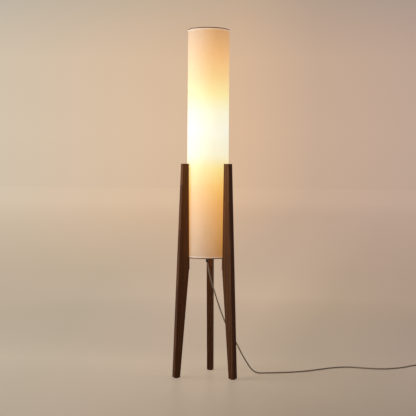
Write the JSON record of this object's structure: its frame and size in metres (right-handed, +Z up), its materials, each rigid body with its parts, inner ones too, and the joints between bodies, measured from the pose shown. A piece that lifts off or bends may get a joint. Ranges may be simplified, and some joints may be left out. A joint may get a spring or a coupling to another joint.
{
  "type": "floor lamp",
  "caption": "Tall tripod floor lamp: a slim fabric cylinder shade held between dark board legs, lit from inside, with a foot switch on its cord.",
  "frame": {"origin": "on the lamp's vertical axis, on the floor that the glides stand on", "axes": "+Z up along the shade's axis, +Y from the axis towards the rear leg, so +X points to the right as the lamp is seen from its front"},
  "size_m": [1.0871, 0.4355, 1.3],
  "materials": {
    "walnut": "satin oiled walnut",
    "glide": "matte dark nylon",
    "steel": "zinc plated",
    "spring_steel": "bright wire",
    "brass": "plain",
    "spacer": "natural nylon",
    "bracket": "white enamel",
    "grip": "satin black nylon",
    "cord": "satin taupe sheath",
    "core": "brown and blue insulation",
    "holder": "black phenolic",
    "ceramic": "cream insulating block",
    "bulb_metal": "rolled shell",
    "opal_glass": "opal, lit from inside",
    "clear_glass": "clear",
    "filament": "glowing phosphor",
    "liner": "translucent lampshade film",
    "fabric": "cream cotton weave, lit from inside",
    "hem": "folded hem tape",
    "ring": "dark bronze",
    "switch": "satin dark brown",
    "tie": "soft black strap",
    "plug": "moulded taupe",
    "pins": "nickel plated"
  },
  "bodies": {
    "stand": {"leg_left": "walnut", "leg_right": "walnut", "leg_rear": "walnut", "glide_left": "glide", "glide_right": "glide", "glide_rear": "glide", "glide_nails": "steel", "leg_inserts": "brass", "lower_screws": "steel", "upper_screws": "steel", "lower_washers": "spacer", "upper_spacers": "spacer", "lower_bracket": "bracket", "upper_bracket": "bracket", "stem": "steel", "stem_nuts": "steel", "stem_washers": "steel", "cord_grip": "grip", "inner_lead": "cord", "lead_cores": "core", "holder_cap": "holder", "holder_body": "holder", "holder_insert": "ceramic", "holder_shell": "brass", "holder_contact": "brass", "shade_liner": "liner", "shade_fabric": "fabric", "ring_top": "ring", "ring_bottom": "ring", "hem_top": "hem", "hem_bottom": "hem", "cord": "cord", "switch_base": "switch", "switch_cover": "switch", "switch_spring": "spring_steel", "switch_block": "ceramic", "switch_cores": "core", "switch_screws": "steel", "switch_relief_in": "plug", "switch_relief_out": "plug", "cord_coil": "cord", "coil_tie": "tie", "plug_relief": "plug", "plug_body": "plug", "plug_pins": "pins", "pin_sleeves": "plug"},
    "bulb_end": {"bulb_contact": "bulb_metal"},
    "bulb": {"bulb_shell": "bulb_metal", "bulb_insulator": "holder", "bulb_glass": "opal_glass", "bulb_stem": "clear_glass", "bulb_filaments": "filament"},
    "button": {"switch_button": "switch"}
  },
  "joints": [
    {"name": "switch_press", "type": "slide", "parent": "stand", "child": "button", "axis": [0, 0, -1], "range_m": [0, 0.003], "stiffness_N_per_m": 800, "springref_m": -0.002, "deforming": ["switch_spring"]},
    {"name": "bulb_lift", "type": "slide", "parent": "stand", "child": "bulb_end", "axis": [0, 0, 1], "range_m": [0, 0.0109]},
    {"name": "bulb_unscrew", "type": "hinge", "parent": "bulb_end", "child": "bulb", "pos_m": [0, 0, 0.93], "axis": [0, 0, 1], "range_deg": [0, 1080]}
  ],
  "couplings": [
    {"joint": "bulb_lift", "follows": "bulb_unscrew", "m_per_rad": 0.00057757}
  ]
}
